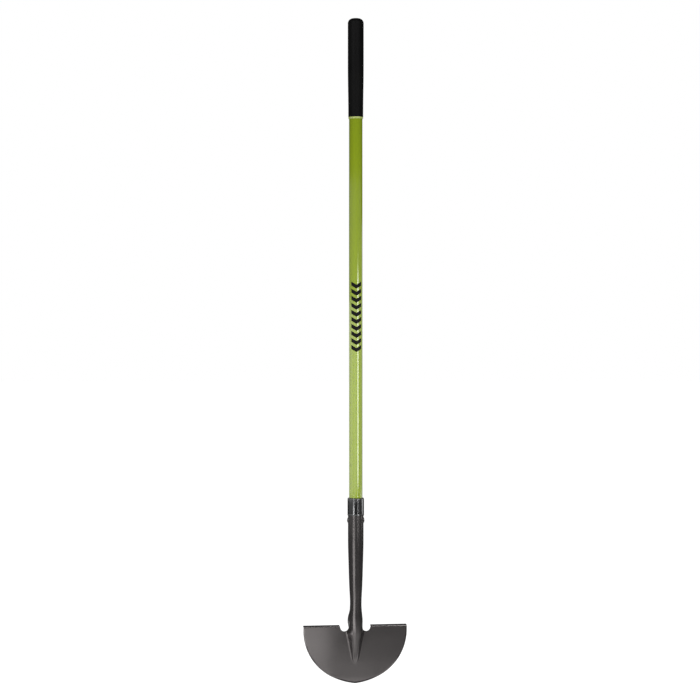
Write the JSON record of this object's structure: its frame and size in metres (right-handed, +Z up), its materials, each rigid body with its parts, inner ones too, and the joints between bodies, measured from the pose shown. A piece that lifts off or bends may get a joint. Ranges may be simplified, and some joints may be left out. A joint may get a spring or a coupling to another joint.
{
  "type": "half-moon lawn edger",
  "caption": "Long-handled half-moon lawn edger: pressed steel blade with turned foot steps and rolled open socket, steel collar, straight tubular handle and round rubber grip.",
  "frame": {"origin": "on the handle's axis at the lowest point of the blade", "axes": "+Z up the handle towards the grip; -Y to the front, where the frog stands out of the blade; +X to the right for someone who faces the front"},
  "size_m": [0.231, 0.0368, 1.468],
  "materials": {
    "head_paint": "dark grey semi-gloss lacquer",
    "collar_steel": "smoked nickel plate",
    "rivet_steel": "dark grey semi-gloss lacquer",
    "handle_gelcoat": "glossy lime green",
    "core_wood": "bare turned hardwood",
    "plug_plastic": "moulded black",
    "ring_plastic": "glossy pale lime",
    "grip_rubber": "smooth satin black"
  },
  "bodies": {
    "root": {"blade_head": "head_paint", "collar": "collar_steel", "socket_rivet": "rivet_steel", "handle_tube": "handle_gelcoat", "core_plug": "core_wood", "end_plug": "plug_plastic", "stop_ring": "ring_plastic", "grip": "grip_rubber"}
  },
  "joints": []
}
